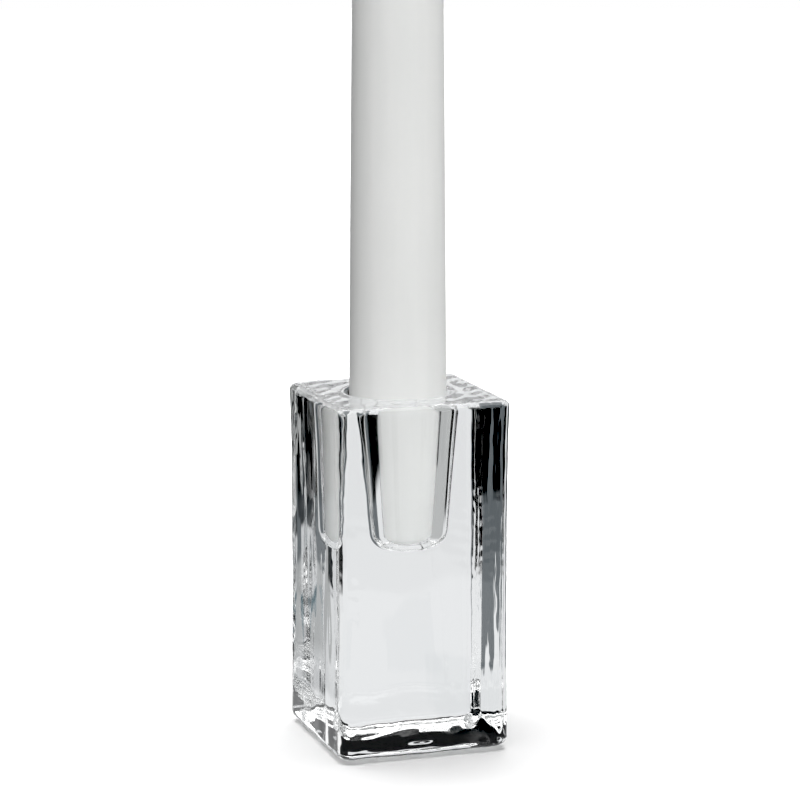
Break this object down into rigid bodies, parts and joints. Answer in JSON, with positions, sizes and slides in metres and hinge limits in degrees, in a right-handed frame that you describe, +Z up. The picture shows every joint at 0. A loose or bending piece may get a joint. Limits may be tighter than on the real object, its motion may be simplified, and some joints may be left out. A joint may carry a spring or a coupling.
{
  "type": "glass candlestick",
  "caption": "Square upright block of clear pressed glass with a tapered socket in its top, holding a white taper candle that lifts out.",
  "frame": {"origin": "middle of the base, on the surface that the block stands on", "axes": "+Z up along the candle; the block's four faces stand square to X and Y, with -Y taken as the front"},
  "size_m": [0.0408, 0.0408, 0.3058],
  "materials": {
    "glass": "clear, polished",
    "wax": "satin",
    "wick": "braided cotton"
  },
  "bodies": {
    "holder": {"glass_block": "glass"},
    "candle": {"candle_wax": "wax", "candle_wick": "wick"}
  },
  "joints": [
    {"name": "candle_lift", "type": "slide", "parent": "holder", "child": "candle", "axis": [0, 0, 1], "range_m": [0, 0.05]}
  ]
}
